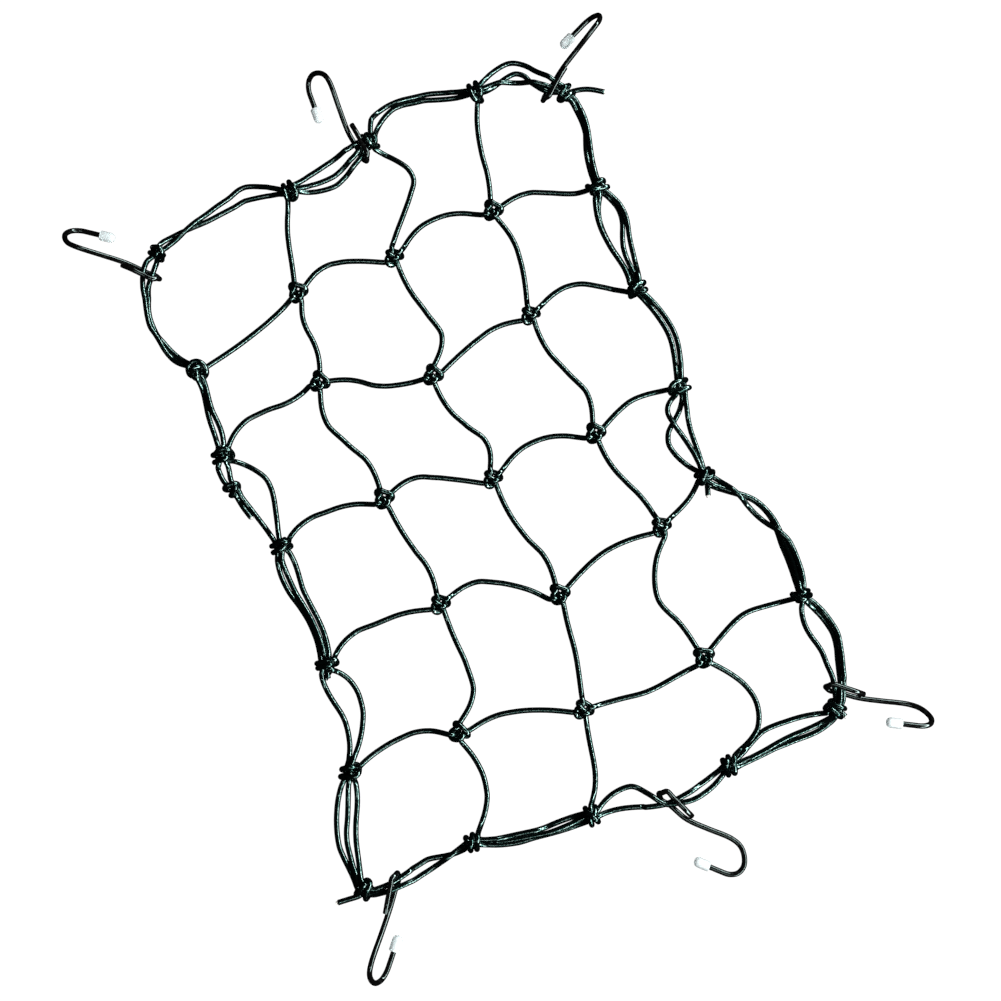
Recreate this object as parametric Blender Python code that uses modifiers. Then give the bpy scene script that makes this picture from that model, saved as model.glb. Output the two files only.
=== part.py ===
"""Cargo net of elastic cord, lying flat, with six coated wire hooks and soft tips.

The net is a grid of five by seven knots. Single strands cross its inside, and bundles of two
to four cords run round its border. Each hook is one bent wire: its eye is threaded round the
border cords, its long shank points outwards, and its open end is capped with a soft tip.

Frame: metres, +Z up, the net resting on z = 0. The origin is the underside of the middle knot,
+Y runs along the net's length and +X across it.
"""

import math
from collections import namedtuple

import bmesh
import bpy
from mathutils import Matrix, Vector

MM = 0.001

# Cord and knots
PITCH = 95 * MM            # even spacing of the knots, both ways
COLUMNS = 5
ROWS = 7
CORD = 4 * MM              # elastic cord, diameter
CORD_REST = CORD / 2 * math.cos(math.radians(30))   # centre of a cord that lies flat on its side
KNOT_LENGTH = 14 * MM
KNOT_RIDGE = 7.2 * MM      # radius over the wraps
KNOT_GROOVE = 5.8 * MM     # radius between the wraps
KNOT_NECK = 4.2 * MM       # radius at the two ends
KNOT_MID = 4.9 * MM        # height of a knot's middle
INSET = 3.5 * MM           # a strand starts this far from its knot's middle
CLIMB = 17 * MM            # a cord leaves the floor this far from a knot's middle
BUNDLE_STEP = 4.4 * MM     # spacing of side by side cords where they enter a knot
STRAY = 1.1 * MM           # how far a strand's straight steps may stray from its smooth route
STRAY_AT_HOOK = 0.25 * MM  # the same where it passes through a hook's eye
SETTLE = 16 * MM           # a lifted cord comes down over this length beside an eye

# Hooks
WIRE = 4 * MM              # coated steel wire, diameter
GAP = 0.3 * MM             # clearance between separate pieces
HOOK_LENGTH = 88 * MM      # over the nose of the eye and the bend
HOOK_WIDTH = 27 * MM       # between the shank and the short leg, centre to centre
EYE_LENGTH = 33 * MM       # from the nose to the wire's cut end
EYE_HEIGHT = CORD + WIRE + 4 * GAP    # between the eye's two legs, centre to centre
EYE_SLOPE = 0.2            # rise of a leaning hook's wire along its eye
SHANK_START = 28 * MM      # from the nose to the straight shank
SHANK_END = 70 * MM        # from the nose to the bend
SHORT_LEG = 27.5 * MM      # from the bend's outside to the tip's rim
HOOK_STRAY = 0.3 * MM      # how far the wire's straight steps may stray from its smooth route

# Soft tips
TIP_RADIUS = 4.2 * MM
TIP_LENGTH = 12.5 * MM
TIP_ROUND = 3.4 * MM       # rounding of the closed end
TIP_BORE_DEPTH = 9 * MM
TIP_STEPS = 10

# How far each knot has drifted from the even grid, in mm (across, along), far row first.
KNOT_DRIFT = (
    ((-1, -7), (26, 3), (11, 15), (11, 26), (-18, -5)),
    ((-2, -18), (1, 14), (-9, 13), (-13, 20), (-18, 5)),
    ((-10, 3), (-9, 32), (-15, 3), (-16, 21), (-20, 9)),
    ((9, 11), (6, 17), (0, 0), (-3, 4), (-18, 15)),
    ((10, 4), (18, 15), (16, -13), (19, 8), (-27, 35)),
    ((-3, 11), (-5, 9), (0, -11), (11, -8), (10, 9)),
    ((-24, 16), (-26, 20), (-24, 4), (-3, 0), (0, 10)),
)
# The small knot where a spare cord is tied into the left border, in mm.
SPARE_KNOT = (-202, 69)

# A cord's bow to the left of its straight chord, in mm, at a quarter, a half and three quarters
# of its length, and how high it rises over the cords that it crosses.
Bow = namedtuple("Bow", "quarter half late rise", defaults=(0,))

# Strands across the net, left to right, for each inner row.
ACROSS = {
    1: (Bow(-2.5, -3.5, -3), Bow(13.5, 12.5, 6), Bow(12.5, 15.5, 11), Bow(9, 6.5, -1)),
    2: (Bow(12, 9, 1), Bow(2.5, -5, -5.5), Bow(2.5, 6, 7), Bow(14, 16.5, 7.5)),
    3: (Bow(11, 10.5, 7.5), Bow(13.5, 10, 3.5), Bow(11.5, 14.5, 10), Bow(6, 9.5, 7)),
    4: (Bow(11.5, 10, 7), Bow(15.5, 14, 7), Bow(5.5, 8.5, 5.5), Bow(-1.5, -3.5, -4)),
    5: (Bow(7.5, 11.5, 11), Bow(7, 8, 4.5), Bow(-3, -7, -5), Bow(8, 12.5, 7)),
}
# Strands along the net, far to near, for each inner column.
ALONG = {
    1: (Bow(-4.5, -4.5, -2.5), Bow(-3, 2.5, 6), Bow(-11, -4, 5), Bow(0.5, 3, 6.5),
        Bow(7, 14.5, 16.5), Bow(11, 16.5, 14.5)),
    2: (Bow(29, 27, 13), Bow(3.5, 12, 18.5), Bow(-3, 4, 13), Bow(-2, 0.5, 6.5),
        Bow(2, 3.5, 2.5), Bow(2.5, 5, 5.5)),
    3: (Bow(-2, -1.5, 1.5), Bow(8.5, 8.5, 5), Bow(-1.5, 5, 11.5), Bow(-4, -1.5, 2.5),
        Bow(-14, -20, -7), Bow(24, 34, 29)),
}
# Border bundles, one tuple of cords for each span between two knots.
FAR_EDGE = (
    (Bow(10, 17, 23.5), Bow(5, 9, 8)),
    (Bow(2.5, 5, 6), Bow(-5, -7.5, -0.5), Bow(-12, -16, -5)),
    (Bow(23.5, 22, 12), Bow(17.5, 17, 7)),
    (Bow(24, 27, 15), Bow(12.5, 19, 10), Bow(8, 9, 5)),
)
NEAR_EDGE = (
    (Bow(-6, 0, -0.5), Bow(-12, -7.5, -5)),
    (Bow(-0.5, -0.5, 1.5), Bow(-5, -5, -3.5), Bow(-9.5, -9.5, -8)),
    (Bow(12.5, -8.5, -5), Bow(-3, -13.5, -12)),
    (Bow(5, 7.5, 3.5), Bow(-1.5, -4, -8), Bow(-6, -9, -14)),
)
LEFT_EDGE = (
    (Bow(-17, -21.5, -17), Bow(-21.5, -26, -22)),
    (Bow(2.5, 1.5, 6), Bow(-3, -3.5, 0.5)),
    (Bow(19, 20, 9.5),),
    (Bow(4.5, 4, 7.5), Bow(-3, -1, 3), Bow(-9, -6.5, -1.5)),
    (Bow(19, 21.5, 14), Bow(-5, 4.5, 5)),
    (Bow(4.5, -0.5, -2), Bow(-4, -8, -8.5), Bow(-11, -16, -15)),
)
RIGHT_EDGE = (
    (Bow(10.5, 7.5, 3), Bow(6, 2.5, -2.5)),
    (Bow(13, 9, 5.5), Bow(8.5, 4, 0.5), Bow(-12, -11, -5)),
    (Bow(13, 16, 11.5), Bow(6, 9.5, 6)),
    (Bow(-1.5, -1, 2.5), Bow(-16, -8.5, -3.5), Bow(-7, -20, -15, 4.4)),
    (Bow(13, 21.5, 16), Bow(8, 15.5, 10.5)),
    (Bow(13.5, 17.5, 12), Bow(-7, 2.5, 5)),
)
# The left border's cords through the spare knot: two reach it and one goes on.
TO_SPARE = (Bow(3, 3.5, 2), Bow(-3, -3.5, -2))
FROM_SPARE = (Bow(1, 1, 1),)

# Cut ends that stick out of a knot: (row, column) or "spare", then the end's place in mm.
Tail = namedtuple("Tail", "knot across along")
TAILS = (
    Tail((0, 4), 205, 273),
    Tail((6, 0), -237, -271),
    Tail((4, 4), 161, -77),
    Tail((6, 4), 200, -284),
    Tail("spare", -194, 45),
)

# Hooks: the nose of the eye in mm, the way the nose points in degrees, the side of the shank
# that the short leg lies on (1 is left), how wide the mouth looks from above, how the hook lies
# ("down" rests on its tip, "flat" lies on its side, "up" holds its tip up), how far the nose
# and the cut end stand off the shank's line, and how far apart the eye's legs look from above.
Hook = namedtuple("Hook", "name across along heading side mouth lie nose_off cut_off spread")
HOOKS = (
    Hook("far_left", -194.5, 255, -35.4, 1, 18.5, "down", 6.1, 3.7, 5.0),
    Hook("far_middle", 0, 286, -90.9, -1, 18.8, "down", 6.5, 5.1, 5.3),
    Hook("far_right", 155, 282, -154.2, -1, 14.5, "down", 6.3, 2.5, 4.6),
    Hook("near_right", 187, -254, 151.8, 1, 15.8, "up", 6.1, 3.7, 5.6),
    Hook("near_middle", 30.5, -283, 136.0, 1, 27.0, "flat", 10.9, 4.5, 8.5),
    Hook("near_left", -183.5, -264.5, 50.0, -1, 13.5, "down", 3.6, 2.1, 5.0),
)
# The wire's path, in order from its cut end. Back is in mm from the nose, or from the shank's
# end in the bend. Across and lift are shares: of the way from the shank to the eye's other leg,
# and of the eye's height.
Step = namedtuple("Step", "back across lift")
RETURNING_LEG = (Step(33, 1, 0.52), Step(29, 1, 0.78), Step(24, 1, 1), Step(12.6, 1, 1), Step(6.6, 1, 1))
NOSE = (Step(3.4, 0.67, 0.83), Step(2, 0.5, 0.5), Step(3.4, 0.33, 0.17))
INTO_SHANK = (Step(6.6, 1, 0), Step(13.6, 0.85, 0), Step(28, 0.15, 0), Step(36, 0, 0), Step(49, 0, 0),
              Step(70, 0, 0))
BEND = (Step(8.5, 0.11, 0), Step(14, 0.35, 0), Step(16, 0.61, 0), Step(13.6, 0.85, 0),
        Step(7.5, 0.98, 0), Step(-1, 1, 0))

CORD_COLOUR = (0.012, 0.018, 0.017, 1)
WIRE_COLOUR = (0.008, 0.008, 0.008, 1)
TIP_COLOUR = (0.86, 0.88, 0.87, 1)


def clear_scene():
    for thing in list(bpy.data.objects):
        bpy.data.objects.remove(thing, do_unlink=True)


def new_collection(name):
    group = bpy.data.collections.new(name)
    bpy.context.scene.collection.children.link(group)
    return group


def new_material(name, colour, roughness, metallic=0.0):
    material = bpy.data.materials.new(name)
    material.use_nodes = True
    shader = material.node_tree.nodes["Principled BSDF"]
    shader.inputs["Base Color"].default_value = colour
    shader.inputs["Roughness"].default_value = roughness
    shader.inputs["Metallic"].default_value = metallic
    return material


def ease(share):
    """A smooth step from 0 to 1."""
    share = min(max(share, 0.0), 1.0)
    return share * share * (3 - 2 * share)


def smooth_route(controls, steps):
    """Points of a smooth curve through the controls, some steps from each to the next."""
    ends = [2 * controls[0] - controls[1]] + list(controls) + [2 * controls[-1] - controls[-2]]
    route = []
    for before, start, end, after in zip(ends, ends[1:], ends[2:], ends[3:]):
        for step in range(steps):
            t = step / steps
            route.append(0.5 * (2 * start + (end - before) * t
                                + (2 * before - 5 * start + 4 * end - after) * t * t
                                + (3 * start - before - 3 * end + after) * t ** 3))
    route.append(controls[-1].copy())
    return route


def thin_route(route, stray):
    """The fewest of the route's points whose straight steps stay within stray of it."""
    if len(route) < 3:
        return list(route)
    start, end = route[0], route[-1]
    along = end - start
    worst, split = 0.0, 0
    for index, point in enumerate(route[1:-1], start=1):
        share = min(max((point - start).dot(along) / along.length_squared, 0.0), 1.0)
        off = (point - start - along * share).length
        if off > worst:
            worst, split = off, index
    if worst <= stray:
        return [start, end]
    return thin_route(route[:split + 1], stray)[:-1] + thin_route(route[split:], stray)


def tube_curve(name, routes, thickness, resolution):
    """One curve object with a round tube along each route, a list of (point, swell)."""
    curve = bpy.data.curves.new(name, "CURVE")
    curve.dimensions = "3D"
    curve.twist_mode = "Z_UP"
    curve.bevel_depth = thickness / 2
    curve.bevel_resolution = resolution
    curve.use_fill_caps = True
    for route in routes:
        spline = curve.splines.new("POLY")
        spline.points.add(len(route) - 1)
        for knot, (place, swell) in zip(spline.points, route):
            knot.co = (*place, 1.0)
            knot.radius = swell
    return bpy.data.objects.new(name, curve)


def evaluated_mesh(thing):
    bpy.context.view_layer.update()
    return bpy.data.meshes.new_from_object(thing.evaluated_get(bpy.context.evaluated_depsgraph_get()))


def as_mesh(curve_object, group):
    """A mesh object made from a curve object, with its caps welded on."""
    group.objects.link(curve_object)
    mesh = evaluated_mesh(curve_object)
    shape = bmesh.new()
    shape.from_mesh(mesh)
    bmesh.ops.remove_doubles(shape, verts=shape.verts, dist=0.00001)
    shape.to_mesh(mesh)
    shape.free()
    name, place = curve_object.name, curve_object.matrix_world.copy()
    bpy.data.objects.remove(curve_object, do_unlink=True)
    solid = bpy.data.objects.new(name, mesh)
    solid.matrix_world = place
    group.objects.link(solid)
    return solid


# --- hooks -----------------------------------------------------------------------------------

def hook_frame(hook):
    """The hook's own frame: x to the nose, y to the short leg's side, origin at the nose."""
    heading = math.radians(hook.heading)
    forward = Vector((math.cos(heading), math.sin(heading)))
    aside = Vector((-forward.y, forward.x)) * hook.side
    nose = Vector((hook.across, hook.along)) * MM
    return nose + aside * hook.nose_off * MM, forward, aside


def mouth_rise(hook):
    """How much higher one leg of the mouth lies than the other."""
    return math.sqrt(HOOK_WIDTH ** 2 - min(hook.mouth * MM, HOOK_WIDTH) ** 2)


def shank_height(hook, back):
    """Height of the wire's middle, at a distance back from the nose."""
    if hook.lie != "down":
        return WIRE / 2
    eye_end = WIRE / 2 + EYE_SLOPE * SHANK_START
    if back < SHANK_START:
        return WIRE / 2 + EYE_SLOPE * max(back, 0.0)
    top = TIP_RADIUS + mouth_rise(hook)
    return eye_end + (top - eye_end) * (back - SHANK_START) / (SHANK_END - SHANK_START)


def hook_route(hook):
    """The middle line of a hook's wire, from its cut end round the eye to the capped end."""
    origin, forward, aside = hook_frame(hook)
    near_leg = (hook.nose_off - hook.spread / 2) * MM
    far_leg = (hook.nose_off + hook.spread / 2) * MM
    cut_end = hook.cut_off * MM
    eye_back, eye_front = RETURNING_LEG[0].back, RETURNING_LEG[-1].back

    def place(back, off, height):
        flat = origin - forward * back - aside * off
        return Vector((flat.x, flat.y, height))

    def eye_place(step, off):
        back = step.back * MM
        return place(back, off, shank_height(hook, back) + EYE_HEIGHT * step.lift)

    route = [eye_place(step, far_leg + (cut_end - far_leg) * (step.back - eye_front) / (eye_back - eye_front))
             for step in RETURNING_LEG]
    route += [eye_place(step, near_leg + (far_leg - near_leg) * step.across) for step in NOSE]
    route += [eye_place(step, near_leg * step.across) for step in INTO_SHANK]
    shank_end = shank_height(hook, SHANK_END)
    tip = WIRE / 2 + mouth_rise(hook) if hook.lie == "up" else TIP_RADIUS
    route += [place(SHANK_END + step.back * MM, -step.across * hook.mouth * MM,
                    shank_end + (tip - shank_end) * step.across) for step in BEND]
    rim = HOOK_LENGTH - SHORT_LEG
    route += [place(back, -hook.mouth * MM, tip) for back in (rim, rim - TIP_BORE_DEPTH + GAP)]
    return smooth_route(route, 5)


def build_hook(hook, group, material):
    route = thin_route(hook_route(hook), HOOK_STRAY)
    wire = tube_curve("hook_" + hook.name, [[(place, 1.0) for place in route]], WIRE, 2)
    wire.data.materials.append(material)
    group.objects.link(wire)
    return route


def build_tip(hook, route, group, material):
    """A turned cap with a blind bore, pushed over the end of the wire."""
    bore = (WIRE / 2 + GAP) / math.cos(math.pi / TIP_STEPS)
    side = TIP_RADIUS - TIP_ROUND
    outside = [(side + TIP_ROUND * math.sin(math.radians(angle)),
                TIP_LENGTH - TIP_ROUND + TIP_ROUND * math.cos(math.radians(angle)))
               for angle in (0, 30, 60, 90)]
    profile = [(0, TIP_LENGTH)] + outside + [(TIP_RADIUS, 0), (bore, 0), (bore, TIP_BORE_DEPTH),
                                             (0, TIP_BORE_DEPTH)]
    mesh = bpy.data.meshes.new("tip_" + hook.name)
    mesh.from_pydata([(x, 0, z) for x, z in profile], [(i, i + 1) for i in range(len(profile) - 1)], [])
    cap = bpy.data.objects.new("tip_" + hook.name, mesh)
    turned = cap.modifiers.new("Turned", "SCREW")
    turned.steps = turned.render_steps = TIP_STEPS
    turned.use_merge_vertices = True
    turned.merge_threshold = 0.00001
    leg = (route[-1] - route[-2]).normalized()
    rim = route[-1] - leg * (TIP_BORE_DEPTH - GAP)
    cap.matrix_world = Matrix.Translation(rim) @ leg.to_track_quat("Z", "Y").to_matrix().to_4x4()
    mesh.materials.append(material)
    group.objects.link(cap)


# --- net -------------------------------------------------------------------------------------

def knot_place(row, column):
    across, along = KNOT_DRIFT[row][column]
    return Vector(((column - COLUMNS // 2) * PITCH + across * MM,
                   (ROWS // 2 - row) * PITCH + along * MM))


def over_hooks(spot):
    """Height that a cord's middle needs to pass through the eye of a hook at this spot."""
    height = 0.0
    for hook in HOOKS:
        origin, forward, aside = hook_frame(hook)
        back = -(spot - origin).dot(forward)
        off = -(spot - origin).dot(aside)
        if -WIRE < back < EYE_LENGTH + CORD:
            far_leg = (hook.nose_off + hook.spread / 2) * MM
            outside = max(-off, off - far_leg, 0.0)
            through_eye = shank_height(hook, back) + EYE_HEIGHT / 2
            height = max(height, through_eye * (1 - ease((outside - WIRE) / SETTLE)))
    return height


def thin_strand(route):
    """The route thinned, and kept truer where it passes through a hook's eye."""
    lifted = [index for index, place in enumerate(route) if over_hooks(place.xy) > 0]
    if not lifted:
        return thin_route(route, STRAY)
    first, last = max(lifted[0] - 1, 0), min(lifted[-1] + 1, len(route) - 1)
    return (thin_route(route[:first + 1], STRAY)[:-1]
            + thin_route(route[first:last + 1], STRAY_AT_HOOK)
            + thin_route(route[last:], STRAY)[1:])


def strand_route(start, end, bow, start_off=0.0, end_off=0.0, loose_end=False):
    """Route of one cord between two knots: bowed sideways, low in its middle, high at the knots."""
    chord = end - start
    along = chord.normalized()
    left = Vector((-along.y, along.x))
    controls = [start + along * INSET + left * start_off]
    controls += [start + chord * share + left * side * MM for share, side in (
        (0.25, bow.quarter), (0.5, bow.half), (0.75, bow.late))]
    controls.append(end if loose_end else end - along * INSET + left * end_off)
    flat = smooth_route(controls, 8)
    route = []
    for index, spot in enumerate(flat):
        reach = (spot - start).length
        if not loose_end:
            reach = min(reach, (spot - end).length)
        climb = (KNOT_MID - CORD_REST) * (1 - ease((reach - INSET) / (CLIMB - INSET)))
        hump = bow.rise * MM * math.sin(math.pi * index / (len(flat) - 1)) ** 0.5
        height = max(CORD_REST + max(climb, hump), over_hooks(spot))
        route.append(Vector((spot.x, spot.y, height)))
    return thin_strand(route)


def bundle_routes(start, end, bows):
    """Routes of the cords of one border span, side by side where they enter the knots."""
    order = sorted(range(len(bows)), key=lambda i: bows[i].quarter)
    late_order = sorted(range(len(bows)), key=lambda i: bows[i].late)
    middle = (len(bows) - 1) / 2
    return [strand_route(start, end, bow, (order.index(i) - middle) * BUNDLE_STEP,
                         (late_order.index(i) - middle) * BUNDLE_STEP)
            for i, bow in enumerate(bows)]


def net_routes():
    """Routes of every cord of the net."""
    routes = []
    for row, bows in ACROSS.items():
        routes += [strand_route(knot_place(row, i), knot_place(row, i + 1), bow)
                   for i, bow in enumerate(bows)]
    for column, bows in ALONG.items():
        routes += [strand_route(knot_place(i, column), knot_place(i + 1, column), bow)
                   for i, bow in enumerate(bows)]
    for row, edge in ((0, FAR_EDGE), (ROWS - 1, NEAR_EDGE)):
        for i, bows in enumerate(edge):
            routes += bundle_routes(knot_place(row, i), knot_place(row, i + 1), bows)
    for column, edge in ((0, LEFT_EDGE), (COLUMNS - 1, RIGHT_EDGE)):
        for i, bows in enumerate(edge):
            routes += bundle_routes(knot_place(i, column), knot_place(i + 1, column), bows)
    spare = Vector(SPARE_KNOT) * MM
    routes += bundle_routes(knot_place(2, 0), spare, TO_SPARE)
    routes += bundle_routes(spare, knot_place(3, 0), FROM_SPARE)
    for tail in TAILS:
        start = spare if tail.knot == "spare" else knot_place(*tail.knot)
        end = Vector((tail.across, tail.along)) * MM
        routes.append(strand_route(start, end, Bow(1, 2, 1), loose_end=True))
    return routes


def knot_route(middle, heading, size=1.0):
    """A knot as a short fat tube along its cords, swelling over its two wraps."""
    along = Vector((math.cos(math.radians(heading)), math.sin(math.radians(heading)), 0))
    swells = (KNOT_NECK, KNOT_RIDGE, KNOT_GROOVE, KNOT_RIDGE, KNOT_NECK)
    base = Vector((middle.x, middle.y, KNOT_MID))
    return [(base + along * KNOT_LENGTH * size * (i / 4 - 0.5), swell / KNOT_RIDGE * size)
            for i, swell in enumerate(swells)]


def knot_heading(row, column):
    """Border knots lie along their edge, inner knots across the mesh."""
    if row in (0, ROWS - 1):
        return 0
    if column in (0, COLUMNS - 1):
        return 90
    return 45


def outer_skin(mesh):
    """The mesh without the small pockets that crossing cords close in."""
    shape = bmesh.new()
    shape.from_mesh(mesh)
    left = set(shape.verts)
    skins = []
    while left:
        skin, edge_of_skin = set(), [left.pop()]
        while edge_of_skin:
            corner = edge_of_skin.pop()
            skin.add(corner)
            reached = [edge.other_vert(corner) for edge in corner.link_edges]
            edge_of_skin += [other for other in reached if other in left]
            left.difference_update(reached)
        skins.append(skin)
    skins.sort(key=len)
    for pocket in skins[:-1]:
        bmesh.ops.delete(shape, geom=list(pocket), context="VERTS")
    bmesh.ops.dissolve_limit(shape, angle_limit=math.radians(3), verts=shape.verts, edges=shape.edges)
    shape.to_mesh(mesh)
    shape.free()
    return mesh


def rest_on_floor(solid):
    """Flattens the corners that dip below the floor."""
    for corner in solid.data.vertices:
        corner.co.z = max(corner.co.z, 0.0)


def build_net(group, cutters, material):
    knots = [knot_route(knot_place(row, column), knot_heading(row, column))
             for row in range(ROWS) for column in range(COLUMNS)]
    knots.append(knot_route(Vector(SPARE_KNOT) * MM, 90, 0.75))
    net = as_mesh(tube_curve("net", knots, 2 * KNOT_RIDGE, 1), group)
    rest_on_floor(net)
    strands = [[(place, 1.0) for place in route] for route in net_routes()]
    cords = as_mesh(tube_curve("cords", strands, CORD, 1), cutters)
    rest_on_floor(cords)
    cords.hide_render = True
    cords.display_type = "WIRE"
    tied = net.modifiers.new("Tied", "BOOLEAN")
    tied.operation = "UNION"
    tied.solver = "EXACT"
    tied.use_self = True
    tied.object = cords
    net.data = outer_skin(evaluated_mesh(net))
    net.modifiers.clear()
    net.data.materials.append(material)


def build():
    clear_scene()
    group = new_collection("cargo_net")
    cutters = new_collection("cutters")
    cord = new_material("elastic_cord", CORD_COLOUR, 0.6)
    coat = new_material("coated_wire", WIRE_COLOUR, 0.25)
    soft = new_material("soft_tip", TIP_COLOUR, 0.35)
    build_net(group, cutters, cord)
    for hook in HOOKS:
        build_tip(hook, build_hook(hook, group, coat), group, soft)


build()
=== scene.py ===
import math
from collections import namedtuple

import bpy
import numpy as np
from mathutils import Matrix, Vector


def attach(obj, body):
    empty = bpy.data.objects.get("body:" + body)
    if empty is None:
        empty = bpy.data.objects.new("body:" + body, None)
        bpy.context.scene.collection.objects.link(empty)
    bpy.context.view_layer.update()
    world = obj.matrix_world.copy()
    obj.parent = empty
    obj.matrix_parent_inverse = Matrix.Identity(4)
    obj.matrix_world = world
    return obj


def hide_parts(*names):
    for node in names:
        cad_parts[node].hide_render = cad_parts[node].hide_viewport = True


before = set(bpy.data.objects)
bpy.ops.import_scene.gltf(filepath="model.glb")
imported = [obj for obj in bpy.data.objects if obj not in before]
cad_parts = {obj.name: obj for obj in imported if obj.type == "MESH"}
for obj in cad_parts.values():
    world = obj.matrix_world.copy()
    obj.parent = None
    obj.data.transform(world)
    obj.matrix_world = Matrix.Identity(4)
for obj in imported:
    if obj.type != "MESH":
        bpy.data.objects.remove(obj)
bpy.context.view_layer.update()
MM = 0.001


# --- Camera ---
# The photograph looks down on the flat net from almost straight above, a little from the near
# side and turned to the left, from 1.1 m away.
CAMERA_TURN = math.radians(-21.4)
CAMERA_TILT = math.radians(84.0)
CAMERA_DISTANCE = 1.1414
CAMERA_AIM = Vector((0.0002, -0.0185, 0))

lens = bpy.data.cameras.new("camera")
lens.lens = 50
lens.sensor_width = 36
lens.clip_end = 20
camera = bpy.data.objects.new("camera", lens)
scene = bpy.context.scene
scene.collection.objects.link(camera)
away = Vector((math.sin(CAMERA_TURN) * math.cos(CAMERA_TILT),
               -math.cos(CAMERA_TURN) * math.cos(CAMERA_TILT), math.sin(CAMERA_TILT)))
camera.location = CAMERA_AIM + away * CAMERA_DISTANCE
camera.rotation_euler = away.to_track_quat("Z", "Y").to_euler()
bpy.context.scene.camera = camera


# --- Hooks ---
# Each hook is one length of steel wire in a glossy black coating, bent cold. Its eye is closed
# round the border cords, its long shank points outwards, and its open end turns back.
WIRE = 4 * MM
COATED_WIRE = 4.4 * MM
GAP = 0.3 * MM             # between the wire's end and the bottom of its cap's bore
HOOK_LENGTH = 88 * MM
HOOK_WIDTH = 27 * MM
SHANK_START = 28 * MM
SHANK_END = 70 * MM
SHORT_LEG = 27.5 * MM
EYE_LENGTH = 33 * MM
EYE_HEIGHT = 9.2 * MM
EYE_SLOPE = 0.2
TIP_RADIUS = 4.2 * MM
TIP_BORE_DEPTH = 9 * MM
WIRE_STEP = 0.8 * MM       # how far apart the points of a wire's line are
WELD = 0.01 * MM           # points nearer than this are one
SHEAR_STEP = 0.25 * MM     # the width of the coating's rim at the cut end, and of the steel's edge
SHEAR_HEIGHT = 0.15 * MM   # how far the steel stands out of the coating there
CREASE = math.radians(40)  # edges sharper than this stay sharp

# The nose of the eye in mm, the way it points in degrees, the side of the short leg (1 is left),
# how wide the mouth looks from above, how the hook lies, how far the nose and the cut end stand
# off the shank's line, and how far apart the eye's two legs look from above.
Hook = namedtuple("Hook", "name across along heading side mouth lie nose_off cut_off spread")
HOOKS = (
    Hook("far_left", -194.5, 255, -35.4, 1, 18.5, "down", 6.1, 3.7, 5.0),
    Hook("far_middle", 0, 286, -90.9, -1, 18.8, "down", 6.5, 5.1, 5.3),
    Hook("far_right", 155, 282, -154.2, -1, 14.5, "down", 6.3, 2.5, 4.6),
    Hook("near_right", 187, -254, 151.8, 1, 15.8, "up", 6.1, 3.7, 5.6),
    Hook("near_middle", 30.5, -283, 136.0, 1, 27.0, "flat", 10.9, 4.5, 8.5),
    Hook("near_left", -183.5, -264.5, 50.0, -1, 13.5, "down", 3.6, 2.1, 5.0),
)
# The wire's path from its cut end. Back is in mm from the nose, or from the shank's end in the
# bend. Across and lift are shares, as in the solids.
Step = namedtuple("Step", "back across lift")
RETURNING_LEG = (Step(33, 1, 0.52), Step(29, 1, 0.78), Step(24, 1, 1), Step(12.6, 1, 1),
                 Step(6.6, 1, 1))
NOSE = (Step(3.4, 0.67, 0.83), Step(2, 0.5, 0.5), Step(3.4, 0.33, 0.17))
INTO_SHANK = (Step(6.6, 1, 0), Step(13.6, 0.85, 0), Step(28, 0.15, 0), Step(36, 0, 0),
              Step(49, 0, 0), Step(70, 0, 0))
BEND = (Step(8.5, 0.11, 0), Step(14, 0.35, 0), Step(16, 0.61, 0), Step(13.6, 0.85, 0),
        Step(7.5, 0.98, 0), Step(-1, 1, 0))


def smooth_line(controls, step):
    """Points at an even step on a centripetal Catmull-Rom curve through the controls."""
    points = np.array([tuple(c) for c in controls], float)
    keep = np.r_[True, np.linalg.norm(np.diff(points, axis=0), axis=1) > WELD]
    points = points[keep]
    points = np.vstack([2 * points[0] - points[1], points, 2 * points[-1] - points[-2]])
    fine, fine_step = [], 0.4 * step
    for a, b, c, d in zip(points, points[1:], points[2:], points[3:]):
        ta = 0.0
        tb = ta + np.linalg.norm(b - a) ** 0.5
        tc = tb + np.linalg.norm(c - b) ** 0.5
        td = tc + np.linalg.norm(d - c) ** 0.5
        t = np.linspace(tb, tc, 2 + int(np.linalg.norm(c - b) / fine_step))[:-1, None]
        ab = (a * (tb - t) + b * (t - ta)) / (tb - ta)
        bc = (b * (tc - t) + c * (t - tb)) / (tc - tb)
        cd = (c * (td - t) + d * (t - tc)) / (td - tc)
        abc = (ab * (tc - t) + bc * (t - ta)) / (tc - ta)
        bcd = (bc * (td - t) + cd * (t - tb)) / (td - tb)
        fine.append((abc * (tc - t) + bcd * (t - tb)) / (tc - tb))
    fine = np.vstack(fine + [points[-2:-1]])
    run = np.r_[0, np.cumsum(np.linalg.norm(np.diff(fine, axis=0), axis=1))]
    even = np.linspace(0, run[-1], max(3, int(round(run[-1] / step)) + 1))
    return np.column_stack([np.interp(even, run, fine[:, k]) for k in range(3)])


def hook_frame(hook):
    """Origin at the nose on the shank's line, the way the nose points, and the tip's side."""
    heading = math.radians(hook.heading)
    forward = Vector((math.cos(heading), math.sin(heading), 0))
    aside = Vector((-forward.y, forward.x, 0)) * hook.side
    return Vector((hook.across, hook.along, 0)) * MM + aside * hook.nose_off * MM, forward, aside


def mouth_rise(hook):
    """How much the mouth's far side is above or below its shank, from how narrow it looks."""
    return math.sqrt(HOOK_WIDTH ** 2 - min(hook.mouth * MM, HOOK_WIDTH) ** 2)


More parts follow.
